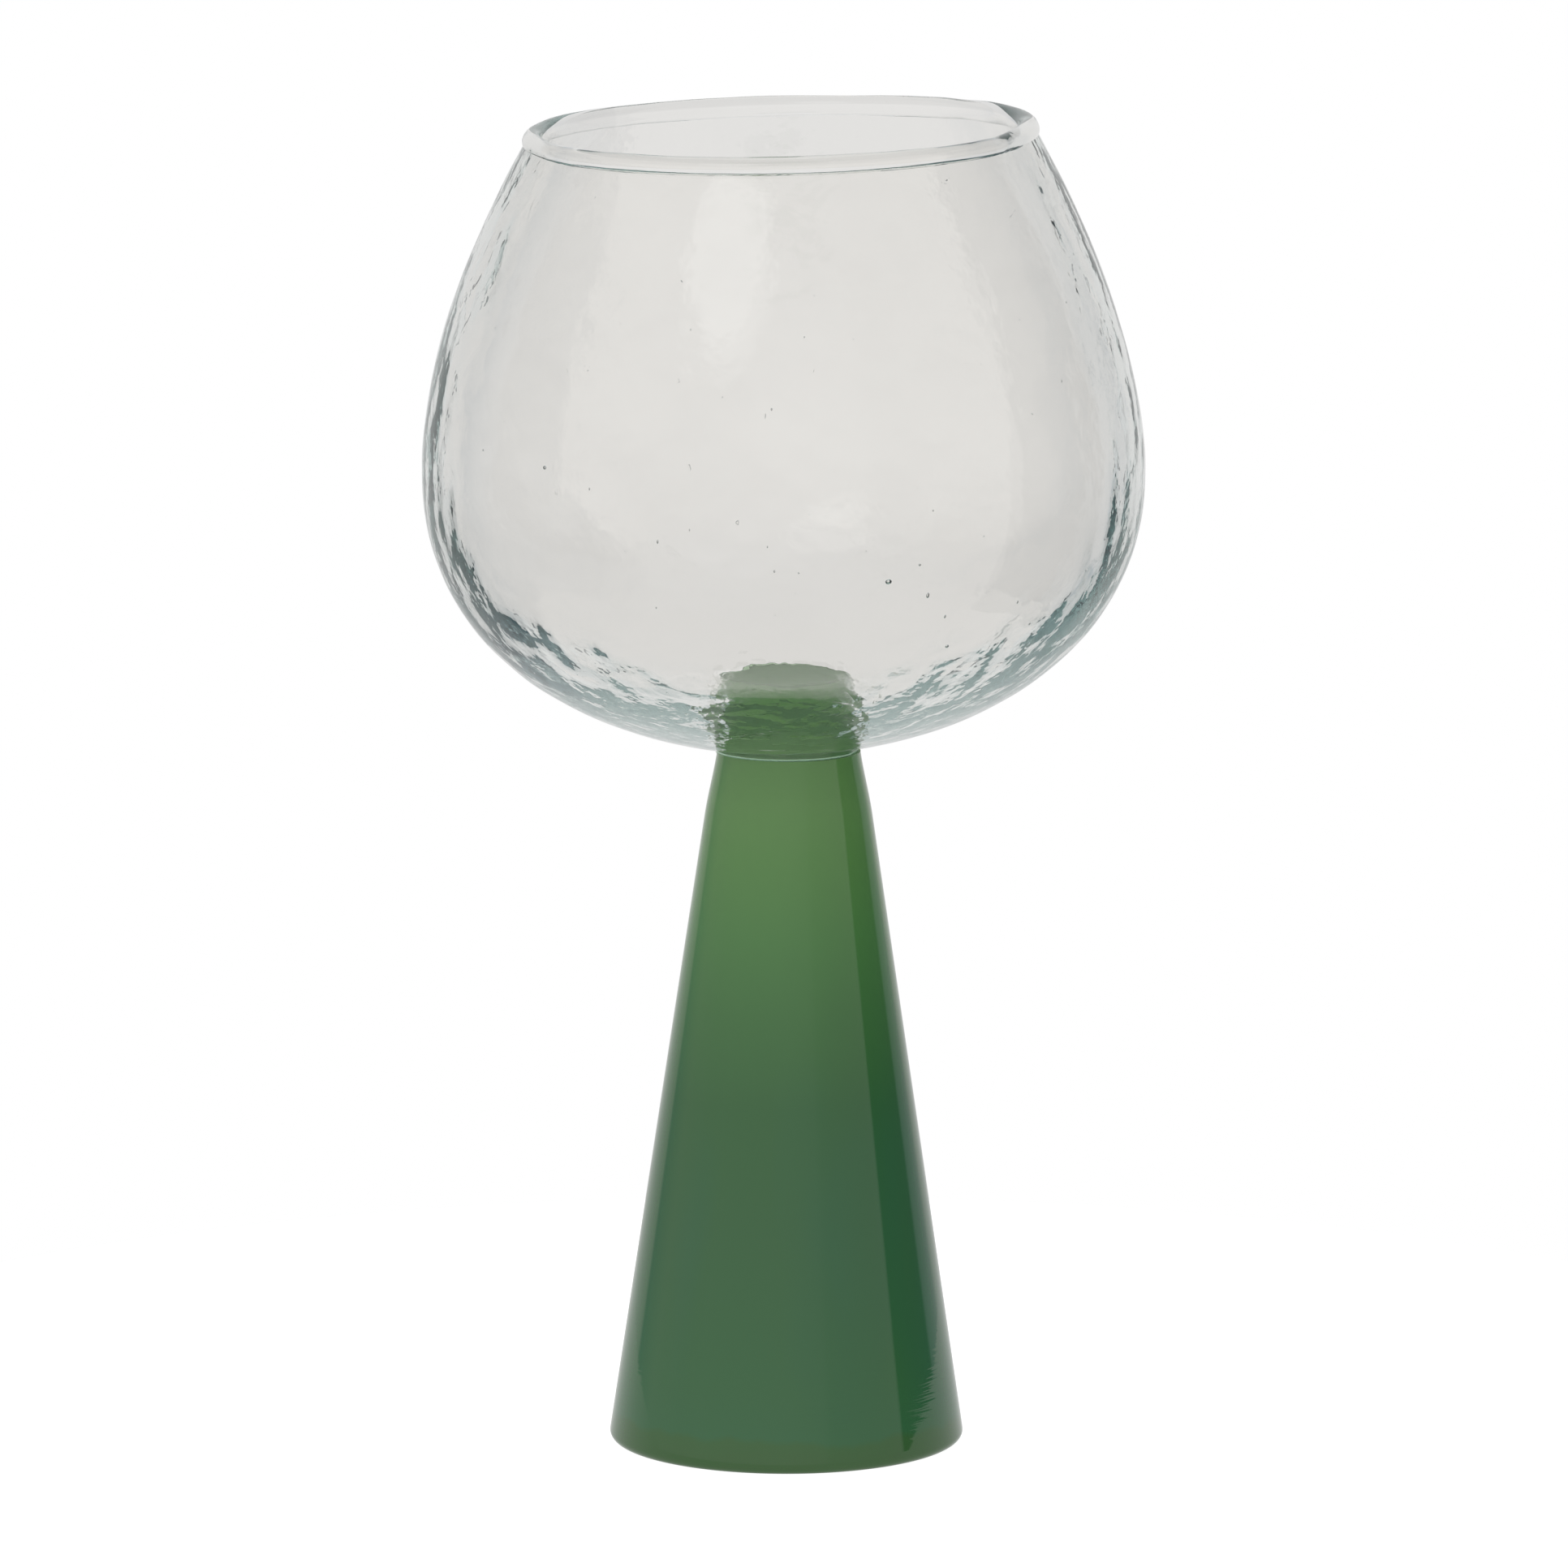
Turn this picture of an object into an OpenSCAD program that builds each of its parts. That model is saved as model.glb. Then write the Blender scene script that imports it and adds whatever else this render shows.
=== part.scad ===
// Stemmed wine glass: a clear blown bowl with a rolled lip, welded to a hollow coloured cone.
// Millimetres, +Z up, with the origin at the centre of the standing ring, on the table.

/* [Bowl] */
// Largest outside diameter of the bowl
bowl_d = 90; // [76:1:104]
// Height of the bowl, from the weld up to the centre of the lip bead
bowl_h = 76.4; // [64:0.1:92]
// Outside diameter of the wall just under the lip bead
mouth_d = 64.5; // [54:0.5:72]
// Height of the widest point above the weld, as a share of the bowl's height
widest_share = 0.467; // [0.4:0.001:0.6]
// How square the lower half is: 2 is an ellipse, and more is squarer
belly_power = 2.34; // [2:0.02:2.8]
// How late the upper half turns in: 1 is a cone, and 2 is a parabola
shoulder_power = 1.72; // [1.4:0.02:2.2]
// Thickness of the wall at the widest point
wall_t = 2.4; // [1.8:0.1:3]
// Thickness of the floor over the weld
floor_t = 4; // [3:0.1:6]

/* [Lip] */
// Thickness of the wall just under the bead
lip_wall_t = 1.6; // [1.2:0.1:1.8]
// Diameter of the round section of the rolled bead
bead_d = 2.6; // [2.2:0.1:3.4]
// How far the join with the wall lies below the bead's centre
bead_seat = 0.9; // [0.4:0.1:0.9]
// How far the bead's outer edge lies inside the wall's outer face
bead_inset = 0.2; // [0:0.1:0.5]

/* [Weld] */
// Diameter of the clear button between the bowl and the cone
button_d = 18.4; // [15:0.1:22]
// Thickness of the button
button_t = 0.85; // [0.6:0.05:1.6]

/* [Cone stem] */
// Height of the cone, from the table up to the weld
stem_h = 87.8; // [70:0.1:110]
// Diameter where the line of the cone's side meets the table
foot_d = 44.9; // [38:0.1:56]
// Outside diameter at the top of the straight side
shoulder_d = 19.8; // [17:0.1:24]
// Length of the short waist above the straight side
waist_h = 4; // [2:0.5:8]
// How much the waist draws in, across the diameter
waist_draw = 1.6; // [0.8:0.1:2]
// Thickness of the cone's wall
stem_wall = 2; // [1.4:0.1:2.6]
// Length of solid glass that closes the cone's neck
neck_t = 8; // [5:0.5:14]
// Thickness of the closed base, at the standing ring
base_t = 3.5; // [2.5:0.1:5]
// Radius of the heel where the side turns under
heel_r = 1; // [0.5:0.1:2]
// Width of the flat standing ring
ring_w = 4; // [2:0.5:6]
// Depth of the hollow under the base
punt_depth = 1.2; // [0.4:0.1:1.8]

/* [Hidden] */
$fn = 96;
STEPS = 18; // points along each half of a bowl profile
ARC_STEPS = 8; // points along a small rounding

weld_z = stem_h + button_t; // where the bowl's underside sits on the button
lip_z = weld_z + bowl_h; // centre of the lip bead
join_z = lip_z - bead_seat; // where the bead sits on the wall
widest_z = weld_z + widest_share * bowl_h;
floor_z = weld_z + floor_t; // lowest point inside the bowl
bowl_r = bowl_d / 2;
mouth_r = mouth_d / 2;
button_r = button_d / 2;
weld_r = button_r - 0.1; // flat circle under the bowl, just inside the button's edge
bead_r = bead_d / 2;
bead_ring_r = mouth_r - bead_inset - bead_r;
lean = atan((foot_d - shoulder_d) / 2 / (stem_h - waist_h)); // the side's lean from upright
neck_r = (shoulder_d - waist_draw) / 2;
heel_flat_r = foot_d / 2 - heel_r * tan(45 + lean / 2); // outer edge of the standing ring
punt_r = heel_flat_r - ring_w; // inner edge of the standing ring
cavity_r = foot_d / 2 - stem_wall / cos(lean) - base_t * tan(lean);
cavity_flat_r = cavity_r - heel_r * tan(45 + lean / 2);
inset_r = foot_d / 2 * cos(lean) - stem_wall; // from the base's centre square to the air space's side
crown_z = (stem_h - neck_t - inset_r) / (1 - sin(lean)); // centre of the air space's round crown
crown_r = inset_r - crown_z * sin(lean);

// The upper half of a bowl profile: from the widest radius r up to the join with the lip
function shoulder(r, r_top) = [
    for (i = [0 : STEPS])
        let (t = i / STEPS)
        [r - (r - r_top) * pow(t, shoulder_power), widest_z + (join_z - widest_z) * t]
];

// The lower half: from the widest radius r down to radius r_end, where the outline has reached
// the depth h_full if it went on to the axis
function belly(r, r_end, h_full) = [
    for (i = [0 : STEPS])
        let (a = acos(r_end / r) * i / STEPS)
        [r * cos(a), widest_z - h_full * pow(sin(a), 2 / belly_power)]
];

// An arc of radius r about [x, z] from angle a0 to angle a1
function arc(x, z, r, a0, a1) = [
    for (i = [0 : ARC_STEPS])
        let (a = a0 + (a1 - a0) * i / ARC_STEPS)
        [x + r * cos(a), z + r * sin(a)]
];

function backwards(points) = [for (i = [len(points) - 1 : -1 : 0]) points[i]];

// All the points of a list but the first
function tail(points) = [for (i = [1 : len(points) - 1]) points[i]];

// A shallow dome from the axis, rise above z = 0, out to radius r
function dome(r, rise) = [
    for (i = [0 : ARC_STEPS])
        let (s = i / ARC_STEPS)
        [r * s, rise * (1 - s * s)]
];

// Clear blown bowl, whose wall thins towards the lip and thickens into the floor over the weld
module bowl() {
    outer_depth = (widest_z - weld_z) / pow(1 - pow(weld_r / bowl_r, 2), 1 / belly_power);
    outer = concat(
        backwards(belly(bowl_r, weld_r, outer_depth)),
        tail(shoulder(bowl_r, mouth_r))
    );
    inner_r = bowl_r - wall_t;
    inner = concat(
        backwards(belly(inner_r, 0, widest_z - floor_z)),
        tail(shoulder(inner_r, mouth_r - lip_wall_t))
    );
    color([0.93, 0.94, 0.93, 0.3])
        rotate_extrude()
            polygon(concat([[0, weld_z]], outer, backwards(inner)));
}

// Rolled bead round the lip, seated on the wall's top edge
module lip_bead() {
    color([0.95, 0.96, 0.95, 0.45])
        rotate_extrude()
            difference() {
                translate([bead_ring_r, lip_z])
                    circle(r = bead_r);
                translate([bead_ring_r - bead_d, join_z - bead_d])
                    square([2 * bead_d, bead_d]);
            }
}

// Clear button that joins the bowl to the cone: a wafer with a round edge
module joining_button() {
    edge_r = button_t / 2;
    color([0.90, 0.93, 0.91, 0.5])
        rotate_extrude()
            polygon(concat(
                [[0, stem_h]],
                arc(button_r - edge_r, stem_h + edge_r, edge_r, -90, 90),
                [[0, weld_z]]
            ));
}

// Hollow coloured cone: a closed base with a standing ring, a straight side, a short waist and a
// solid neck; the sealed air space ends in a round crown
module cone_stem() {
    color([0.27, 0.44, 0.29])
        rotate_extrude()
            polygon(concat(
                dome(punt_r, punt_depth),
                arc(heel_flat_r, heel_r, heel_r, -90, lean),
                [[shoulder_d / 2, stem_h - waist_h], [neck_r, stem_h], [0, stem_h]],
                arc(0, crown_z, crown_r, 90, lean),
                arc(cavity_flat_r, base_t + heel_r, heel_r, lean, -90),
                [[0, base_t]]
            ));
}

bowl();
lip_bead();
joining_button();
cone_stem();
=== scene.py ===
"""Looks for the wine glass: clear blown bowl, rolled lip, weld button and hollow green cone.

Lengths in the shape functions are in millimetres, and meshes are scaled to metres as they are made.
Bearings round the glass start at its right side, +X, and pass the back, so the front, where the
camera stands, is at 270 degrees.
"""

import math

import bmesh
import bpy
import numpy as np
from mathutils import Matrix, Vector, noise


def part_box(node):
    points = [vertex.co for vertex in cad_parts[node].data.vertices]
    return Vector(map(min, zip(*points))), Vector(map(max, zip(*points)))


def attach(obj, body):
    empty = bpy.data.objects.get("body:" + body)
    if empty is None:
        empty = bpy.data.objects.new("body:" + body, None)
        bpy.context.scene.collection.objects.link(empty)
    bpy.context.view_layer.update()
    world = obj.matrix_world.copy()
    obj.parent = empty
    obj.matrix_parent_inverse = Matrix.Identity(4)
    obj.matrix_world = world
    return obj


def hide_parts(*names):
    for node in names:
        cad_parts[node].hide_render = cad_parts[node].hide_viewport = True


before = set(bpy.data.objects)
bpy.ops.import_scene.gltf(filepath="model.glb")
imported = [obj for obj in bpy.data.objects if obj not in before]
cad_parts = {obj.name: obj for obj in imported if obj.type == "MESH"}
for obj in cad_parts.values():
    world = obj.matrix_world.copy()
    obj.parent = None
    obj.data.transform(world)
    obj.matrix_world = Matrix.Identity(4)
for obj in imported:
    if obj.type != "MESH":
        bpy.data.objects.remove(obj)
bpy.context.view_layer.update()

MM = 0.001
TINY = 1e-6  # a radius below this counts as on the axis

# ---- sizes, from the frame -------------------------------------------------------------------


def top_of(node):
    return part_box(node)[1].z / MM


def radius_of(node):
    low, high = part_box(node)
    return (high.x - low.x) / 2 / MM


STEM_TOP = top_of("cone_stem")
WELD_TOP = top_of("joining_button")
BUTTON_R = radius_of("joining_button")
BOWL_R = radius_of("bowl")
BEAD_R = 1.3  # radius of the lip bead's round section
LIP_Z = top_of("lip_bead") - BEAD_R  # height of the section's centre
LIP_RING_R = radius_of("lip_bead") - BEAD_R  # distance of the section's centre from the axis
WIDEST_SHARE = 0.467  # where the bowl is widest, as a share of its height
WIDEST_Z = WELD_TOP + WIDEST_SHARE * (LIP_Z - WELD_TOP)
SEAM_GAP = 0.002  # left between fused pieces, so that no two faces lie in the same place

# A piece's materials: its own glass, and the faces where it is fused to the next piece
GLASS, FUSED = 0, 1
# What a ring of points belongs to: an outer surface, an inner one, or a flat end
OUT, IN, FLAT = 0, 1, 2
SHARP_ANGLE = math.radians(40)  # an edge that turns by more than this stays sharp

# ---- small helpers ---------------------------------------------------------------------------


def smooth(edge0, edge1, x):
    """0 up to edge0, 1 past edge1, and a smooth change between; the edges may run downwards."""
    t = np.clip((np.asarray(x, float) - edge0) / (edge1 - edge0), 0, 1)
    return t * t * (3 - 2 * t)


def ripple(points, size, seed):
    """Soft noise in about -1..1 at each point, with waves of size = (x, y, z) millimetres."""
    sx, sy, sz = size
    out = np.zeros(len(points))
    for i, (x, y, z) in enumerate(points):
        place = Vector((x / sx + seed * 7.3, y / sy - seed * 3.1, z / sz + seed * 1.7))
        out[i] = noise.noise(place)
    return out * 1.6


def bearing_of(points):
    return np.arctan2(points[:, 1], points[:, 0])


def ripple_round(points, reach, seed, along=None):
    """Noise that runs round the glass, with more waves the greater its reach.

    It also changes up the glass, in waves of along millimetres, if that is given.
    """
    angle = bearing_of(points)
    rise = 0 * angle if along is None else points[:, 2] / along
    looped = np.stack([np.cos(angle) * reach, np.sin(angle) * reach, rise], axis=1)
    return ripple(looped, (1, 1, 1), seed)


def arc(x, z, r, start, end, steps):
    """Points of a circle about (x, z), from one angle to another."""
    angles = [start + (end - start) * k / steps for k in range(steps + 1)]
    return [(x + r * math.cos(a), z + r * math.sin(a)) for a in angles]


class Revolved:
    """A closed solid of revolution, made of bands that each have their own material."""

    def __init__(self, segments):
        self.segments = segments
        self.rings = []

    def run(self, profile, material, tag):
        """Adds the profile's points [(r, z), ...]; the faces up to each point get the material."""
        self.rings += [(r, z, material, tag) for r, z in profile]

    def build(self, name, shape, materials, closing=None, inclusions=()):
        """shape(points, tags) moves the points in millimetres, and returns them.

        closing is the material of a last band, from the last ring back to the first, if there is one.
        inclusions are further closed shells, as (points, faces), already in place.
        """
        points, tags, index = [], [], []
        angles = np.arange(self.segments) * 2 * math.pi / self.segments
        for r, z, _, tag in self.rings:
            if r < TINY:
                index.append([len(points)] * self.segments)
                points.append((0.0, 0.0, z))
                tags.append(tag)
                continue
            index.append(list(range(len(points), len(points) + self.segments)))
            points.extend((r * math.cos(a), r * math.sin(a), z) for a in angles)
            tags.extend([tag] * self.segments)
        bands = [(k, k + 1, material) for k, (_, _, material, _) in enumerate(self.rings[1:])]
        if closing is not None:
            bands.append((len(self.rings) - 1, 0, closing))
        faces, slots = [], []
        for first, second, material in bands:
            for i in range(self.segments):
                j = (i + 1) % self.segments
                quad = [index[first][i], index[first][j], index[second][j], index[second][i]]
                face = [v for k, v in enumerate(quad) if v != quad[k - 1]]
                if len(face) > 2:
                    faces.append(face)
                    slots.append(material)
        placed = [shape(np.array(points, float), np.array(tags))]
        count = len(points)
        for shell_points, shell_faces in inclusions:
            placed.append(shell_points)
            faces.extend([v + count for v in face] for face in shell_faces)
            slots.extend([GLASS] * len(shell_faces))
            count += len(shell_points)
        return make_mesh(name, np.concatenate(placed), faces, slots, materials)


def make_mesh(name, points, faces, slots, materials):
    mesh = bpy.data.meshes.new(name)
    mesh.from_pydata((points * MM).tolist(), [], faces)
    for material in materials:
        mesh.materials.append(material)
    mesh.polygons.foreach_set("material_index", slots)
    mesh.polygons.foreach_set("use_smooth", [True] * len(faces))
    mesh.set_sharp_from_angle(angle=SHARP_ANGLE)
    mesh.validate()
    mesh.update()
    piece = bpy.data.objects.new(name, mesh)
    bpy.context.scene.collection.objects.link(piece)
    return piece


# ---- the hand-made lean and tilt -------------------------------------------------------------

# How far the axis stands to the right, and how that changes on the way up
STEM_ASIDE = 0.3  # at the table
STEM_DRIFT = 0.3  # added by the neck
BUTTON_ASIDE = 0.3
BOWL_ASIDE = -0.3  # at the weld
BELLY_DRIFT = 0.25  # added by the widest point
LIP_DRIFT = -0.4  # added by the lip

RIM_RISE_X = math.tan(math.radians(1.2))  # slope of the rim, up to the right
RIM_RISE_Y = math.tan(math.radians(0.8))  # and up to the back
RIM_DIP = 0.36  # how far the rim hangs low in front
RIM_BACK = 0.14  # how far it stands high behind
RIM_LIFT = 0.35  # how far it rises near its right end
RIM_LIFT_AT = math.radians(20)  # the bearing where it does


def lean(points):
    """The small sideways wander of the axis, and the rim's tilt, as one blower's hand leaves them."""
    z = points[:, 2]
    lip = smooth(WIDEST_Z + 8, LIP_Z, z)
    angle = bearing_of(points)
    wave = RIM_LIFT * np.clip(np.cos(angle - RIM_LIFT_AT), 0, 1) ** 3
    wave += RIM_BACK * smooth(0, 0.5, np.sin(angle)) - RIM_DIP * smooth(0, 0.6, -np.sin(angle))
    points[:, 2] = z + lip * (points[:, 0] * RIM_RISE_X + points[:, 1] * RIM_RISE_Y + wave)
    on_stem = STEM_ASIDE + STEM_DRIFT * z / STEM_TOP
    on_bowl = BOWL_ASIDE + BELLY_DRIFT * smooth(WELD_TOP, WIDEST_Z, z) + LIP_DRIFT * lip
    points[:, 0] += np.where(z > STEM_TOP + 0.4, on_bowl, on_stem)
    return points


# ---- wiring for materials --------------------------------------------------------------------


class Wiring:
    """Short calls for a shader's node tree."""

    def __init__(self, tree):
        self.tree = tree

    def node(self, kind, **settings):
        node = self.tree.nodes.new(kind)
        for key, value in settings.items():
            setattr(node, key, value)
        return node

    def feed(self, socket, value):
        """Links an output to the socket, or sets the socket to a number, a vector or a colour."""
        if isinstance(value, bpy.types.NodeSocket):
            self.tree.links.new(value, socket)
        elif socket.type == "RGBA":
            socket.default_value = (*value, 1)
        else:
            socket.default_value = value

    def fill(self, node, inputs):
        """Feeds a node's inputs by name."""
        for name, value in inputs.items():
            self.feed(node.inputs[name], value)
        return node

    def place(self):
        """Where a point lies in its piece's own frame, in metres."""
        return self.node("ShaderNodeTexCoord").outputs["Object"]

    def stretched(self, place, scale):
        node = self.fill(self.node("ShaderNodeMapping"), {"Vector": place, "Scale": scale})
        return node.outputs["Vector"]

    def parts(self, vector):
        """The outputs X, Y and Z that a vector is split into."""
        return self.fill(self.node("ShaderNodeSeparateXYZ"), {"Vector": vector}).outputs

    def noise_at(self, place, scale, detail=2.0, distortion=0.0):
        inputs = {"Vector": place, "Scale": scale, "Detail": detail, "Distortion": distortion}
        return self.fill(self.node("ShaderNodeTexNoise"), inputs).outputs["Fac"]

    def math(self, operation, a, b=0.0):
        node = self.node("ShaderNodeMath", operation=operation)
        self.feed(node.inputs[0], a)
        self.feed(node.inputs[1], b)
        return node.outputs[0]

    def ramp(self, value, stops):
        """A colour for each value, from stops of (value, colour)."""
        node = self.fill(self.node("ShaderNodeValToRGB"), {"Fac": value})
        elements = node.color_ramp.elements
        elements.remove(elements[1])
        elements[0].position = stops[0][0]
        elements[0].color = (*stops[0][1], 1)
        for place, colour in stops[1:]:
            elements.new(place).color = (*colour, 1)
        return node.outputs["Color"]

    def levels(self, value, *stops):
        """A grey level for each value, from stops of (value, level)."""
        return self.ramp(value, [(place, (level, level, level)) for place, level in stops])

    def mix(self, share, a, b):
        """The colour a, turning into b as the share grows."""
        node = self.node("ShaderNodeMix", data_type="RGBA")
        for at, value in ((0, share), (6, a), (7, b)):  # the colour sockets are the third pair
            self.feed(node.inputs[at], value)
        return node.outputs[2]

    def bump(self, height, depth):
        """The normal of a surface that stands up by height, from 0 to 1, times depth millimetres."""
        node = self.fill(self.node("ShaderNodeBump"), {"Height": height, "Distance": depth * MM})
        return node.outputs["Normal"]


def new_material(name):
    """A new material, the wiring of its nodes, and its Principled shader."""
    material = bpy.data.materials.new(name)
    material.use_nodes = True
    return material, Wiring(material.node_tree), material.node_tree.nodes["Principled BSDF"]


# ---- clear glass -----------------------------------------------------------------------------

GLASS_IOR = 1.5
# What is left of each colour when light passes a surface, and at each bounce inside the wall
CLEAR = (0.985, 0.980, 0.970)
BOWL_TRAPPED = (0.925, 0.945, 0.943)
LIP_TRAPPED = (0.965, 0.970, 0.966)
WELD = (0.50, 0.66, 0.47)
WELD_TRAPPED = (0.75, 0.86, 0.73)
# Depth of the skin's unevenness in millimetres, as light is bent by it and as it is mirrored
SKIN_BENDS = 0.05
SKIN_MIRRORS = 0.11


def blown_skin(wires, depth, middle, edge):
    """The fine unevenness of blown glass, in swirls.

    It has its full depth halfway out from the middle of the bowl, as seen from in front, and the
    given shares of that at the middle and towards the edge.
    """
    place = wires.place()
    grain = wires.noise_at(place, 420)
    swirls = wires.noise_at(place, 60, distortion=1.5)
    strong = wires.levels(swirls, (0.40, 0.25), (0.58, 1))
    from_middle = wires.math("DIVIDE", wires.math("ABSOLUTE", wires.parts(place)["X"]), BOWL_R * MM)
    aside = wires.levels(from_middle, (0.22, middle), (0.5, 1), (0.8, edge))
    return wires.bump(wires.math("MULTIPLY", wires.math("MULTIPLY", grain, strong), aside), depth)


def clear_glass(name, passed, trapped, uneven):
    """Glass that passes light by one tint, and dims light caught inside the wall by another.

    uneven is how uneven its skin is, as a share of the bowl's.
    """
    material, wires, shader = new_material(name)
    inside = wires.node("ShaderNodeNewGeometry").outputs["Backfacing"]
    bends = wires.fill(wires.node("ShaderNodeBsdfRefraction"), {
        "Color": passed,
        "Roughness": 0.0,
        "IOR": GLASS_IOR,
        "Normal": blown_skin(wires, SKIN_BENDS * uneven, 0.3, 0.8),
    })
    mirrors = wires.fill(wires.node("ShaderNodeBsdfGlossy"), {
        "Color": wires.mix(inside, (1, 1, 1), trapped),
        "Roughness": 0.0,
        "Normal": blown_skin(wires, SKIN_MIRRORS * uneven, 1.0, 0.45),
    })
    mirrored = wires.fill(wires.node("ShaderNodeFresnel"), {"IOR": GLASS_IOR})
    both = wires.node("ShaderNodeMixShader")
    for socket, source in zip(both.inputs, (mirrored, bends, mirrors)):
        wires.feed(socket, source.outputs[0])
    wires.feed(wires.tree.nodes["Material Output"].inputs["Surface"], both.outputs[0])
    wires.tree.nodes.remove(shader)
    return material


def fused_seam():
    """Where two pieces of the same glass are fused there is no surface to see."""
    material, wires, shader = new_material("fused_seam")
    wires.fill(shader, {"Alpha": 0.0})
    return material


# ---- green glass -----------------------------------------------------------------------------

# Colour of the green by height in millimetres, with painted glow: paler and yellower towards the neck, a
# painted stand-in for light shining through the thinner glass there, and a yellower band at the foot,
# painted light from the table
GREEN_AND_GLOW = (
    (0, (0.034, 0.100, 0.024)), (3.4, (0.032, 0.106, 0.026)), (4.2, (0.026, 0.114, 0.038)),
    (10, (0.026, 0.112, 0.034)), (30, (0.026, 0.106, 0.031)), (45, (0.026, 0.108, 0.028)),
    (56, (0.040, 0.138, 0.034)), (66, (0.058, 0.176, 0.043)), (76, (0.082, 0.212, 0.052)),
    (82, (0.100, 0.236, 0.063)), (88, (0.098, 0.232, 0.062)),
)
GREEN_TOP = STEM_TOP + 0.5  # the height at the end of the colour ramp
BLUER_GREEN = (0.021, 0.106, 0.047)
# painted glow: the cone's top is far paler than its body, standing in for light that shines into the opal
# neck
CORE_GLOW_GREEN = (0.34, 0.54, 0.30)
CLOUD_DRIFT = 4  # most that the clouding moves the colour up and down in all, in millimetres
TURNED_H = 30  # the turning lines fade below this height in millimetres
TURNED_DEPTH = 0.02  # their depth in millimetres


def green_and_glow_by_height(wires):
    """The green at each height, with its painted glow, faint clouding, and bluer patches in the lower
    half.
    """
    place = wires.place()
    upright = wires.stretched(place, (1, 1, 0.25))
    cloud = wires.noise_at(upright, 120, detail=3)
    drift = wires.math("MULTIPLY", wires.math("SUBTRACT", cloud, 0.5), CLOUD_DRIFT * MM)
    height = wires.math("DIVIDE", wires.math("ADD", wires.parts(place)["Z"], drift), GREEN_TOP * MM)
    # this ramp paints the glow of light through the glass: paler near the neck, yellower at the foot
    green = wires.ramp(height, [(z / GREEN_TOP, colour) for z, colour in GREEN_AND_GLOW])
    patches = wires.levels(wires.noise_at(upright, 60), (0.48, 0), (0.68, 0.5))
    low = wires.levels(height, (0.04, 0), (0.08, 1), (0.45, 1), (0.6, 0))
    return wires.mix(wires.math("MULTIPLY", patches, low), green, BLUER_GREEN)


def turning_lines(wires):
    """Fine rings low on the cone, where it was turned in its mould, as a shallow bump."""
    place = wires.place()
    rings = wires.noise_at(wires.stretched(place, (0.02, 0.02, 1)), 1800)
    height = wires.math("DIVIDE", wires.parts(place)["Z"], TURNED_H * MM)
    low = wires.levels(height, (0.1, 0), (0.2, 1), (0.5, 0.9), (0.8, 0.06))
    patches = wires.levels(wires.noise_at(place, 70), (0.42, 0.1), (0.6, 1))
    lines = wires.math("MULTIPLY", rings, wires.math("MULTIPLY", low, patches))
    return wires.bump(lines, TURNED_DEPTH)


def green_glass():
    material, wires, shader = new_material("green_glass")
    wires.fill(shader, {
        "Base Color": green_and_glow_by_height(wires),
        "Roughness": 0.03,
        "IOR": GLASS_IOR,
        "Normal": turning_lines(wires),
    })
    return material


def green_core():
    """The top of the cone, which is fused to clear glass and so has no gloss; its pale colour is a painted
    glow of light shining into the neck.
    """
    material, wires, shader = new_material("green_core")
    wires.fill(shader, {"Base Color": CORE_GLOW_GREEN, "Specular IOR Level": 0.0, "Roughness": 1.0})
    return material


# ---- the bowl --------------------------------------------------------------------------------

WALL = 2.4  # thickness at the widest point
FLOOR = 4.0  # thickness over the weld
BELLY_POWER = 2.34  # how square the lower half is: 2 is an ellipse
SHOULDER_POWER = 1.72  # how late the upper half turns in: 1 is a cone
LIP_LEAN = math.radians(29)  # how far the wall leans in where it meets the bead
LIP_WALL = 1.4  # thickness of the wall there
SEAT = 0.95  # depth of the bead's seat below its centre, along the wall

# How far the surface wanders in millimetres, the size of the waves, and what is added to the seed
FACETS = (
    (0.10, (24, 24, 24), 0),
    (0.058, (8, 8, 11), 10),
    (0.02, (3.6, 3.6, 3.6), 30),
)
SCALLOPS = (
    (0.09, (7, 7, 5), 20),
    (0.058, (3.2, 3.2, 2.6), 50),
)
STREAK = 0.026
STREAK_REACH = 180 / 4.5 / math.pi  # makes each streak about 4.5 degrees wide
STREAK_LONG = 16

SEEDS = 120
SEED_R = 0.04  # radius of the smallest seed
SEED_SPREAD = 0.08  # how much larger the largest is
# The bubbles big enough to notice: bearing, height, radius, and how stretched
BUBBLES = (
    (287, 115, 0.42, 0.8), (292, 117, 0.16, 1.0), (294, 113, 0.2, 1.8), (298, 110, 0.14, 2.0),
    (300, 106, 0.24, 1.0), (229, 128, 0.22, 1.1), (214, 129, 0.12, 1.0), (250, 120, 0.11, 2.6),
)


def belly(r, r_end, depth, steps=80):
    """Lower half of a bowl profile, from the end radius up to the widest one.

    depth is how far below that the outline would reach if it went on to the axis.
    """
    start = math.acos(r_end / r)
    out = []
    for k in range(steps + 1):
        a = start * (1 - k / steps)
        out.append((r * math.cos(a), WIDEST_Z - depth * math.sin(a) ** (2 / BELLY_POWER)))
    return out


def shoulder(r, end, steps):
    """Upper half of a bowl profile, from the widest radius up to the end point (r, z)."""
    r_end, z_end = end
    out = []
    for k in range(1, steps + 1):
        t = k / steps
        out.append((r - (r - r_end) * t ** SHOULDER_POWER, WIDEST_Z + (z_end - WIDEST_Z) * t))
    return out


def seat_point(side):
    """End of the wall under the bead: side is +1 outside and -1 inside."""
    half = LIP_WALL / 2
    r = LIP_RING_R + SEAT * math.sin(LIP_LEAN) + side * half * math.cos(LIP_LEAN)
    z = LIP_Z - SEAT * math.cos(LIP_LEAN) + side * half * math.sin(LIP_LEAN)
    return r, z


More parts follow.
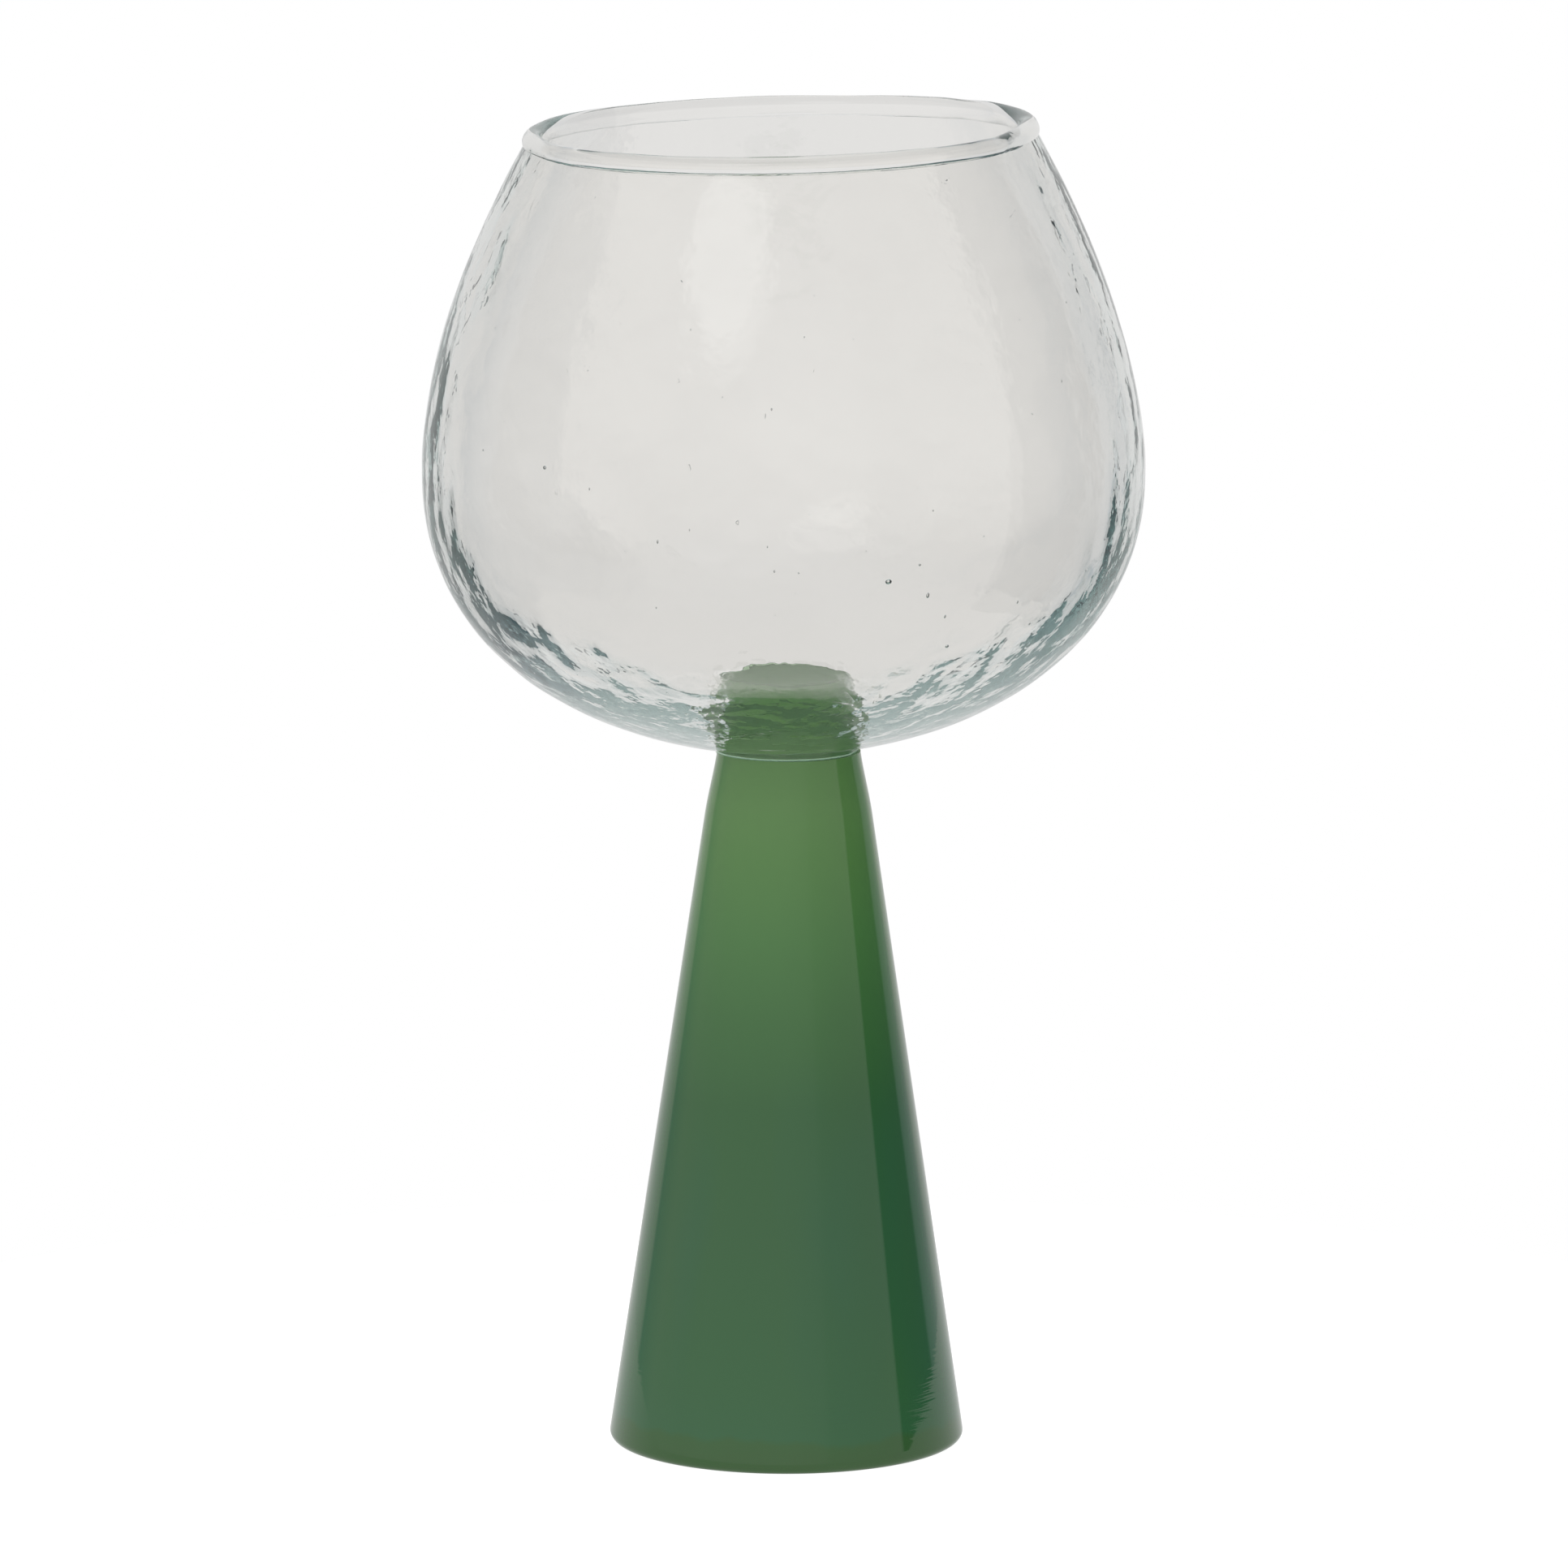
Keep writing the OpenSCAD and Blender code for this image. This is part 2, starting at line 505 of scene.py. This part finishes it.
def bowl_profiles():
    """The outlines of the outer and the inner surface, from the bottom up."""
    weld_r = BUTTON_R - 0.1  # the flat circle underneath, just inside the button's edge
    outer_depth = (WIDEST_Z - WELD_TOP) / (1 - (weld_r / BOWL_R) ** 2) ** (1 / BELLY_POWER)
    outer = belly(BOWL_R, weld_r, outer_depth) + shoulder(BOWL_R, seat_point(1), steps=56)
    inner_r = BOWL_R - WALL
    inner_depth = WIDEST_Z - (WELD_TOP + FLOOR)
    inner = belly(inner_r, 0, inner_depth) + shoulder(inner_r, seat_point(-1), steps=50)
    return outer, inner


def icosphere():
    shell = bmesh.new()
    bmesh.ops.create_icosphere(shell, subdivisions=2, radius=1.0)
    points = np.array([list(v.co) for v in shell.verts])
    faces = [[v.index for v in face.verts] for face in shell.faces]
    shell.free()
    return points, faces


def bowl_seeds(outer):
    """Tiny bubbles of air in the wall: shells that face inwards, placed under the outer surface."""
    ball, ball_faces = icosphere()
    inward = [face[::-1] for face in ball_faces]
    line = np.array(outer)
    step = np.gradient(line, axis=0)
    step /= np.linalg.norm(step, axis=1)[:, None]
    chance = np.random.default_rng(11)
    spots = list(BUBBLES)
    for _ in range(SEEDS):
        size = SEED_R + SEED_SPREAD * chance.random() ** 2  # most of them are tiny
        height = WELD_TOP + 8 + (LIP_Z - WELD_TOP - 12) * chance.random() ** 1.3  # and lie low
        spots.append((chance.uniform(0, 360), height, size, chance.uniform(0.9, 2.6)))
    shells = []
    for bearing, height, size, stretch in spots:
        at = int(np.argmin(np.abs(line[:, 1] - height)))
        deep = 0.45 + size + 0.5 * chance.random()  # square to the surface, and inside the wall
        r = line[at, 0] - step[at, 1] * deep
        z = height + step[at, 0] * deep
        angle = math.radians(bearing)
        tilt = chance.uniform(-0.5, 0.5)
        grown = ball * (size, size, size * stretch)
        turned = np.stack([
            grown[:, 0],
            grown[:, 1] * math.cos(tilt) - grown[:, 2] * math.sin(tilt),
            grown[:, 1] * math.sin(tilt) + grown[:, 2] * math.cos(tilt),
        ], axis=1)
        place = np.array((r * math.cos(angle), r * math.sin(angle), z))
        shells.append((lean(turned + place), inward))
    return shells


def wave_share(points, r):
    """The share of its waves that each point keeps.

    That is none at the fused ends, and little on the floor and in the window in front of it, so that
    the top of the cone shows clearly.
    """
    z = points[:, 2]
    clear_of_ends = smooth(WELD_TOP, WELD_TOP + 1.5, z) * (1 - smooth(LIP_Z - 4, LIP_Z - 1, z))
    window = smooth(0.90, 0.985, -points[:, 1] / np.maximum(r, TINY)) * smooth(12, 20, r)
    window *= smooth(WELD_TOP + 5.5, WELD_TOP + 9, z) * (1 - smooth(WELD_TOP + 15, WELD_TOP + 20, z))
    calm = 1 - 0.9 * (1 - smooth(8, 16, r)) * (z < WELD_TOP + 10)
    calm *= 1 - 0.85 * window
    return clear_of_ends * calm


def uneven_wall(points, tags):
    """Blown glass is never even: slow facets all over, streaks up the sides, scallops below."""
    r = np.hypot(points[:, 0], points[:, 1])
    below = 1 - smooth(WELD_TOP + 14, WELD_TOP + 27, points[:, 2])
    move = np.zeros(len(points))
    for tag, seed, scallop in ((OUT, 1, 0.6), (IN, 2, 1.0)):
        mine = tags == tag
        p = points[mine]
        wave = sum(depth * ripple(p, size, seed + own) for depth, size, own in FACETS)
        wave += STREAK * (1 - below[mine]) * ripple_round(p, STREAK_REACH, seed + 40, STREAK_LONG)
        for depth, size, own in SCALLOPS:
            wave += depth * scallop * below[mine] * ripple(p, size, seed + own)
        move[mine] = wave
    move *= wave_share(points, r)
    out = points.copy()
    scale = np.where(r > TINY, 1 + move / np.maximum(r, TINY) * smooth(0, 6, r), 1)
    out[:, :2] *= scale[:, None]
    out[:, 2] += move * (1 - smooth(4, 30, r)) * (tags == IN)
    return lean(out)


def make_bowl(glass, seam):
    outer, inner = bowl_profiles()
    solid = Revolved(segments=320)
    solid.run([(0, WELD_TOP)], FUSED, FLAT)
    solid.run(outer[:1], FUSED, OUT)
    solid.run(outer[1:], GLASS, OUT)
    solid.run(inner[-1:], FUSED, IN)
    solid.run(inner[-2::-1], GLASS, IN)
    return solid.build("bowl_blown", uneven_wall, [glass, seam], inclusions=bowl_seeds(outer))


# ---- the lip bead ----------------------------------------------------------------------------

THREAD_UNEVEN = 0.05  # how much the thread's thickness varies
OVERLAP = 0.12  # how much thicker it is where its ends overlap
OVERLAP_AT = math.radians(-14)  # the bearing where they do


def uneven_thread(points, tags):
    """The thread of glass is a little uneven, and thickest on the right, where its ends overlap."""
    grow = 1 + THREAD_UNEVEN * ripple_round(points, 5, 7)
    grow += OVERLAP * np.clip(np.cos(bearing_of(points) - OVERLAP_AT), 0, 1) ** 24
    r = np.hypot(points[:, 0], points[:, 1])
    new_r = LIP_RING_R + (r - LIP_RING_R) * grow
    points[:, :2] *= (new_r / r)[:, None]
    points[:, 2] = LIP_Z + (points[:, 2] - LIP_Z) * grow
    return lean(points)


def make_lip(glass, seam):
    """The rolled bead: a round section, cut flat where it sits on the end of the wall."""
    cut = math.asin(math.sqrt(1 - (SEAT / BEAD_R) ** 2))  # half the angle that the cut takes away
    down = -math.pi / 2 + LIP_LEAN  # the way down the wall
    section = arc(LIP_RING_R, LIP_Z, BEAD_R, down + cut, down - cut + 2 * math.pi, steps=28)
    solid = Revolved(segments=384)
    solid.run(section, GLASS, OUT)
    return solid.build("lip_bead_rolled", uneven_thread, [glass, seam], closing=FUSED)


# ---- the joining button ----------------------------------------------------------------------

NECK_R = 9.1  # radius of the flat circle that is fused to the cone's neck
PRESSED = 0.012  # how much the button's edge draws in
PRESSED_UNEVEN = 0.016  # and how much that varies


def uneven_edge(points, tags):
    """The button was pressed unevenly between the two gathers, so its edge shows more here, less there."""
    edge = smooth(NECK_R - 0.4, NECK_R, np.hypot(points[:, 0], points[:, 1]))
    shrink = 1 - edge * (PRESSED + PRESSED_UNEVEN * ripple_round(points, 4, 3))
    points[:, :2] *= shrink[:, None]
    points[:, 0] += BUTTON_ASIDE
    return points


def make_button(glass, seam):
    low, top = STEM_TOP, WELD_TOP - SEAM_GAP
    edge_r = (top - low) / 2
    edge = arc(BUTTON_R - edge_r, low + edge_r, edge_r, -math.pi / 2, math.pi / 2, steps=8)
    solid = Revolved(segments=256)
    solid.run([(0, low), (NECK_R, low)], FUSED, FLAT)
    solid.run(edge, GLASS, OUT)
    solid.run([(0, top)], FUSED, FLAT)
    return solid.build("joining_button_fused", uneven_edge, [glass, seam])


# ---- the cone --------------------------------------------------------------------------------

FOOT_R = 22.45  # where the line of the cone's side meets the table
SHOULDER_R = 9.9  # radius at the top of the straight side
SHOULDER_Z = 83.8  # and its height
SIDE_LEAN = math.atan((FOOT_R - SHOULDER_R) / SHOULDER_Z)
HEEL_R = 1.0  # rounding of the heel
RING_W = 4  # width of the standing ring
PUNT = 1.2  # depth of the hollow under the base
PUNT_STEPS = 12
SIDE_STEPS = 130
WAIST = 0.33  # how far the neck draws in
WAIST_H = 8  # over what height


def make_stem(glass, core):
    top = STEM_TOP - SEAM_GAP
    flat_r = FOOT_R - HEEL_R * math.tan(math.pi / 4 + SIDE_LEAN / 2)
    punt_r = flat_r - RING_W
    punt = []
    for k in range(PUNT_STEPS + 1):
        punt.append((punt_r * k / PUNT_STEPS, PUNT * (1 - (k / PUNT_STEPS) ** 2)))
    heel = arc(flat_r, HEEL_R, HEEL_R, -math.pi / 2, SIDE_LEAN, steps=8)
    heel_z = heel[-1][1]
    side = []
    for k in range(1, SIDE_STEPS + 1):
        z = heel_z + (top - heel_z) * k / SIDE_STEPS
        waist = WAIST * float(smooth(STEM_TOP - WAIST_H, STEM_TOP, z))
        side.append((FOOT_R - z * math.tan(SIDE_LEAN) - waist, z))
    solid = Revolved(segments=256)
    solid.run(punt + heel + side, GLASS, OUT)
    solid.run([(0, top)], FUSED, FLAT)
    return solid.build("cone_stem_opal", lambda points, tags: lean(points), [glass, core])


# ---- studio ----------------------------------------------------------------------------------

BACKDROP = 0.79  # brightness of the room behind the glass, and of the table seen through it
TABLE_R = 0.15  # radius of the tabletop in metres
TABLE_CORNERS = 96
TABLE_PALE = 0.3  # how much of the light the table gives back, for the contact shadow
TABLE_SEEN = 0.95  # the table's own glow, as the camera sees it

# Brightness all round the room, by bearing in degrees from the camera, with right positive:
# a big soft light on the left and in front, a dark gap on the right, and a pale backdrop
ROOM = (
    (-180, BACKDROP), (-152, 0.76), (-129, 0.68), (-126, 0.38), (-116, 0.54), (-104, 0.76), (-87, 0.90),
    (-60, 1.0), (0, 1.0), (24, 0.94), (30, 0.84), (81, 0.78), (83, 0.15), (119, 0.13), (122, 0.44),
    (140, 0.56), (146, 0.74), (160, BACKDROP), (180, BACKDROP),
)
COOL = 0.20  # how much bluer the darkest parts of the room are
CEILING = (0.75, 0.77, 0.80)
DIM = 0.08  # how much darker the room is below the height of the table
PANEL = 1.7  # brightness of a soft panel, high in front


def way_at(bearing, rise):
    """The direction at a bearing from the camera, right positive, and a height, in degrees."""
    a, b = math.radians(bearing), math.radians(rise)
    return math.cos(b) * math.sin(a), -math.cos(b) * math.cos(a), math.sin(b)


PANEL_WAY = way_at(-24, 40)


def camera_ray(wires):
    """1 for what the camera sees directly, and 0 for what it sees in or through the glass."""
    return wires.node("ShaderNodeLightPath").outputs["Is Camera Ray"]


def make_world():
    """A studio that the glass sees all round, behind a backdrop that the camera sees as white."""
    world = bpy.data.worlds.new("studio")
    bpy.context.scene.world = world
    world.use_nodes = True
    wires = Wiring(world.node_tree)
    way = wires.node("ShaderNodeTexCoord").outputs["Generated"]
    parts = wires.parts(way)
    toward = wires.math("MULTIPLY", parts["Y"], -1.0)
    turn = wires.math("DIVIDE", wires.math("ARCTAN2", parts["X"], toward), 2 * math.pi)
    stops = []
    for degrees, level in ROOM:
        cool = COOL * float(smooth(0.75, 0.2, level))
        stops.append((degrees / 360 + 0.5, (level * (1 - cool), level, level * (1 + cool))))
    room = wires.ramp(wires.math("ADD", turn, 0.5), stops)
    room = wires.mix(wires.levels(parts["Z"], (0.70, 0), (0.88, 1)), room, CEILING)
    depth = wires.math("MULTIPLY", parts["Z"], -1.0)
    room = wires.mix(wires.levels(depth, (0.13, 0), (0.24, DIM)), room, (0.0, 0.0, 0.0))
    facing = wires.node("ShaderNodeVectorMath", operation="DOT_PRODUCT")
    wires.feed(facing.inputs[0], way)
    wires.feed(facing.inputs[1], PANEL_WAY)
    panel = wires.levels(facing.outputs["Value"], (0.967, 0), (0.982, 1))
    room = wires.mix(panel, room, (PANEL, PANEL, PANEL))
    seen = wires.mix(camera_ray(wires), room, (1.0, 1.0, 1.0))
    wires.feed(world.node_tree.nodes["Background"].inputs["Color"], seen)


def make_floor():
    """A plain round tabletop, bright enough that the camera sees little more than the contact shadow."""
    mesh = bpy.data.meshes.new("floor")
    turns = [2 * math.pi * k / TABLE_CORNERS for k in range(TABLE_CORNERS)]
    ring = [(TABLE_R * math.cos(a), TABLE_R * math.sin(a), 0) for a in turns]
    mesh.from_pydata(ring, [], [list(range(TABLE_CORNERS))])
    floor = bpy.data.objects.new("floor", mesh)
    bpy.context.scene.collection.objects.link(floor)
    material, wires, shader = new_material("pale_floor")
    seen = camera_ray(wires)
    glow = wires.math("ADD", BACKDROP, wires.math("MULTIPLY", seen, TABLE_SEEN - BACKDROP))
    wires.fill(shader, {
        "Base Color": wires.mix(seen, (0.0, 0.0, 0.0), (TABLE_PALE, TABLE_PALE, TABLE_PALE)),
        "Roughness": 1.0,
        "Specular IOR Level": 0.0,
        "Emission Color": (1, 1, 1),
        "Emission Strength": glow,
    })
    mesh.materials.append(material)


# The camera: its lens and sensor in millimetres, its distance from the axis, the height on the
# axis that it looks at, in metres, and how steeply it looks down
LENS = 240.7
SENSOR = 36
AWAY = 1.29534
LOOK_Z = 0.08354
PITCH = math.radians(9.343)


def make_camera():
    data = bpy.data.cameras.new("camera")
    data.sensor_width = SENSOR
    data.lens = LENS
    data.clip_start = 0.01
    data.clip_end = 20
    camera = bpy.data.objects.new("camera", data)
    bpy.context.scene.collection.objects.link(camera)
    camera.location = (0, -AWAY, LOOK_Z + AWAY * math.tan(PITCH))
    camera.rotation_euler = (math.pi / 2 - PITCH, 0, 0)
    bpy.context.scene.camera = camera


# ---- put together ----------------------------------------------------------------------------

BOUNCES = 96  # light crosses the thick wall many times before it leaves

clear = clear_glass("clear_glass", CLEAR, BOWL_TRAPPED, 1.0)
lip = clear_glass("lip_glass", CLEAR, LIP_TRAPPED, 0.25)
weld = clear_glass("weld_glass", WELD, WELD_TRAPPED, 0.5)
seam = fused_seam()
green = green_glass()
core = green_core()

for piece, node, slot in (
    (make_bowl(clear, seam), "bowl", "clear_glass"),
    (make_lip(lip, seam), "lip_bead", "lip_glass"),
    (make_button(weld, seam), "joining_button", "weld_glass"),
    (make_stem(green, core), "cone_stem", "green_glass"),
):
    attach(piece, "root")
    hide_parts(node)

make_world()
make_floor()
make_camera()

bpy.context.scene.view_settings.view_transform = "Standard"
cycles = bpy.context.scene.cycles
cycles.max_bounces = BOUNCES
cycles.transmission_bounces = BOUNCES
cycles.glossy_bounces = BOUNCES
cycles.transparent_max_bounces = 32
